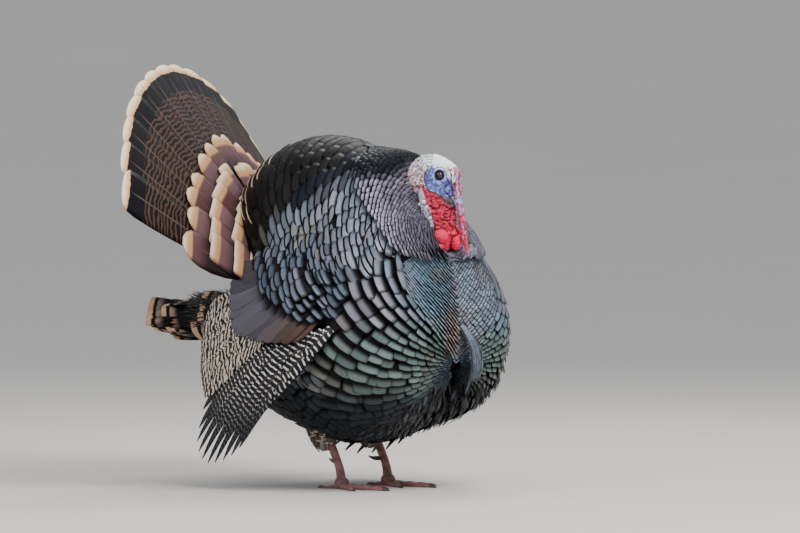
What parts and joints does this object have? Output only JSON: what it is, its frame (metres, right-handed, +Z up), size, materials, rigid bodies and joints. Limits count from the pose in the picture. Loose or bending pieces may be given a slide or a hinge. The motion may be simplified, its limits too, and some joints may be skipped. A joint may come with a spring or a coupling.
{
  "type": "wild turkey",
  "caption": "Wild turkey tom standing in full display: tail raised in a fan, wings lowered, body feathers puffed, head drawn back.",
  "frame": {"origin": "on the floor midway between the two legs, under the middle of the body", "axes": "+Z up, the bird looks along -Y, +X is its left side"},
  "size_m": [0.8343, 0.7065, 0.7274],
  "materials": {
    "body_feathers_dark": "satin feather, dark with a bronze and blue-green sheen",
    "face_skin": "matte bare skin, pale crown and blue face",
    "throat_skin": "slightly moist bare skin, red",
    "eye": "polished, dark brown",
    "horn": "satin horn",
    "bristle": "coarse bristle",
    "wing_feathers": "satin feather, blue-grey",
    "barred_feathers": "matte feather, dark with pale bars",
    "tail_feathers": "matte feather, chestnut with a black band and buff tip",
    "leg_skin": "scaled skin, dull pink",
    "claw_horn": "satin horn"
  },
  "bodies": {
    "root": {"mane": "body_feathers_dark", "breast": "body_feathers_dark", "back": "body_feathers_dark", "belly": "body_feathers_dark", "flanks": "body_feathers_dark", "rump": "body_feathers_dark", "head": "face_skin", "neck": "throat_skin", "wattle_left": "throat_skin", "wattle_right": "throat_skin", "snood": "throat_skin", "eye_left": "eye", "eye_right": "eye", "bill_upper": "horn", "bill_lower": "horn", "beard": "bristle", "wing_coverts_left": "wing_feathers", "wing_coverts_right": "wing_feathers", "wing_secondaries_left": "barred_feathers", "wing_secondaries_right": "barred_feathers", "wing_primaries_left": "barred_feathers", "wing_primaries_right": "barred_feathers", "tail_fan": "tail_feathers", "tail_coverts": "tail_feathers", "undertail_coverts": "tail_feathers", "thigh_left": "body_feathers_dark", "thigh_right": "body_feathers_dark", "shank_left": "leg_skin", "shank_right": "leg_skin", "foot_left": "leg_skin", "foot_right": "leg_skin", "spur_left": "claw_horn", "spur_right": "claw_horn", "claw_middle_left": "claw_horn", "claw_middle_right": "claw_horn", "claw_inner_left": "claw_horn", "claw_inner_right": "claw_horn", "claw_outer_left": "claw_horn", "claw_outer_right": "claw_horn", "claw_hind_left": "claw_horn", "claw_hind_right": "claw_horn"}
  },
  "joints": []
}
